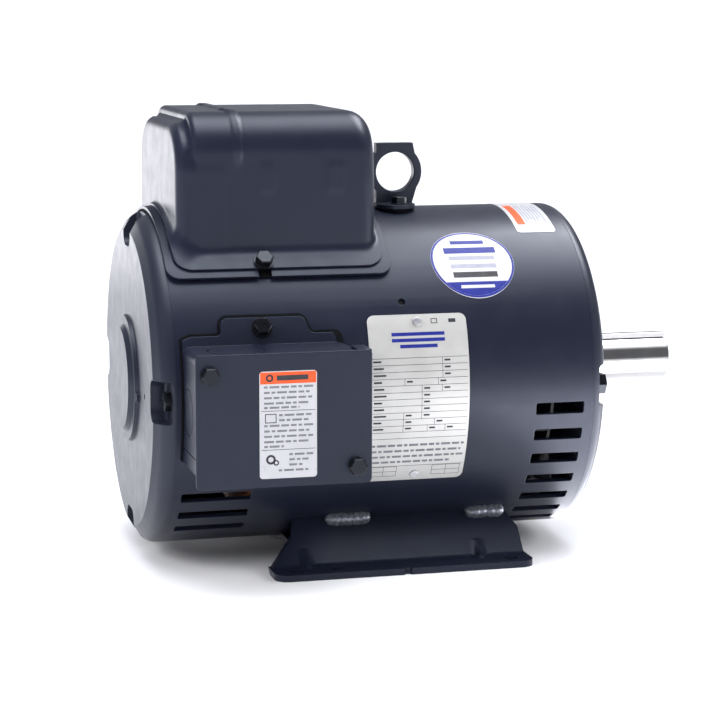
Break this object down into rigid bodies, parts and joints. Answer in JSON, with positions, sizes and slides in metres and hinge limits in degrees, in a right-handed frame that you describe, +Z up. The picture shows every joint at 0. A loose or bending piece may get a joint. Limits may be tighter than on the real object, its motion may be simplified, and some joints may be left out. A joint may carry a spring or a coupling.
{
  "type": "electric motor",
  "caption": "Foot-mounted single-phase electric motor with a vented round body, keyed shaft, side terminal box, capacitor cover on top and a lifting eye.",
  "frame": {"origin": "centre of the four foot bolts, on the mounting surface", "axes": "+X along the shaft towards the drive end, -Y is the terminal-box side, +Z is up"},
  "size_m": [0.3727, 0.2614, 0.2875],
  "materials": {
    "slate_paint": "satin dark slate-blue grey paint over sheet steel and castings",
    "shaft_steel": "ground and polished shaft steel",
    "black_screw": "black oxide, slightly glossy",
    "lamination": "stacked electrical-steel sheets, dull",
    "copper": "varnished copper wire",
    "cast_aluminium": "as cast",
    "bearing_steel": "ground bearing steel",
    "black_plastic": "moulded black plastic",
    "insulation_board": "brown laminated insulating board",
    "gasket_rubber": "black rubber",
    "label_white": "coated white label stock",
    "nameplate_aluminium": "satin printed aluminium",
    "brass_terminal": "tinned brass",
    "zinc_steel": "zinc-plated pressed steel",
    "spring_steel": "spring steel",
    "ground_green": "green-dyed plated steel",
    "capacitor_can": "drawn aluminium can"
  },
  "bodies": {
    "frame": {"air_baffle": "slate_paint", "base_cradle": "slate_paint", "base_rails": "slate_paint", "bearing_retainer": "zinc_steel", "body_screws": "black_screw", "box_gasket": "gasket_rubber", "capacitor_cover": "slate_paint", "capacitor_gasket": "gasket_rubber", "capacitor_saddle": "slate_paint", "capacitor_strap": "zinc_steel", "capacitor_terminals": "brass_terminal", "cover_label": "label_white", "cover_screws": "black_screw", "de_bearing_outer": "bearing_steel", "de_bracket": "slate_paint", "frame_shell": "slate_paint", "ground_screw": "ground_green", "lifting_lug": "slate_paint", "lug_bolt": "black_screw", "lug_spacer": "gasket_rubber", "nameplate": "nameplate_aluminium", "nameplate_pins": "cast_aluminium", "ode_bearing_outer": "bearing_steel", "ode_bracket": "slate_paint", "retainer_screws": "zinc_steel", "run_capacitor": "capacitor_can", "side_sticker": "label_white", "start_capacitors": "black_plastic", "stator_core": "lamination", "stator_windings": "copper", "switch_board": "insulation_board", "switch_contact": "brass_terminal", "terminal_board": "insulation_board", "terminal_box_body": "slate_paint", "terminal_box_bottom": "slate_paint", "terminal_box_cover": "slate_paint", "terminal_studs": "brass_terminal", "through_bolt_nuts": "black_screw", "through_bolts": "black_screw", "top_label": "label_white", "wave_washer": "spring_steel", "weld_beads": "slate_paint"},
    "rotor": {"shaft": "shaft_steel", "shaft_key": "shaft_steel", "rotor_core": "lamination", "rotor_cage": "cast_aluminium", "cooling_fan": "black_plastic", "governor_hub": "zinc_steel", "governor_spring": "spring_steel", "de_bearing_inner": "bearing_steel", "ode_bearing_inner": "bearing_steel", "shaft_slinger": "gasket_rubber"},
    "de_balls": {"de_bearing_balls": "bearing_steel", "de_bearing_cage": "zinc_steel"},
    "ode_balls": {"ode_bearing_balls": "bearing_steel", "ode_bearing_cage": "zinc_steel"},
    "governor_sleeve": {"governor_sleeve": "black_plastic"},
    "governor_weight_upper": {"governor_weight_upper": "zinc_steel"},
    "governor_weight_lower": {"governor_weight_lower": "zinc_steel"},
    "switch_arm": {"switch_arm": "brass_terminal"}
  },
  "joints": [
    {"name": "rotor_spin", "type": "hinge", "parent": "frame", "child": "rotor", "pos_m": [0, 0, 0.1143], "axis": [1, 0, 0], "continuous": true},
    {"name": "de_balls_spin", "type": "hinge", "parent": "frame", "child": "de_balls", "pos_m": [0.12, 0, 0.1143], "axis": [1, 0, 0], "continuous": true},
    {"name": "ode_balls_spin", "type": "hinge", "parent": "frame", "child": "ode_balls", "pos_m": [-0.1487, 0, 0.1143], "axis": [1, 0, 0], "continuous": true},
    {"name": "governor_slide", "type": "slide", "parent": "rotor", "child": "governor_sleeve", "axis": [1, 0, 0], "range_m": [0, 0.0035], "stiffness_N_per_m": 1500, "deforming": ["governor_spring"]},
    {"name": "weight_upper_swing", "type": "hinge", "parent": "rotor", "child": "governor_weight_upper", "pos_m": [-0.10025, 0, 0.1443], "axis": [0, -1, 0], "range_deg": [0, 20]},
    {"name": "weight_lower_swing", "type": "hinge", "parent": "rotor", "child": "governor_weight_lower", "pos_m": [-0.10025, 0, 0.0843], "axis": [0, 1, 0], "range_deg": [0, 20]},
    {"name": "switch_arm_swing", "type": "hinge", "parent": "frame", "child": "switch_arm", "pos_m": [-0.127, 0, 0.1663], "axis": [0, -1, 0], "range_deg": [0, 6.6]}
  ],
  "couplings": [
    {"joint": "de_balls_spin", "follows": "rotor_spin", "ratio": 0.3965},
    {"joint": "ode_balls_spin", "follows": "rotor_spin", "ratio": 0.3969},
    {"joint": "weight_upper_swing", "follows": "governor_slide", "rad_per_m": 99.7},
    {"joint": "weight_lower_swing", "follows": "governor_slide", "rad_per_m": 99.7},
    {"joint": "switch_arm_swing", "follows": "governor_slide", "rad_per_m": 32.7}
  ]
}
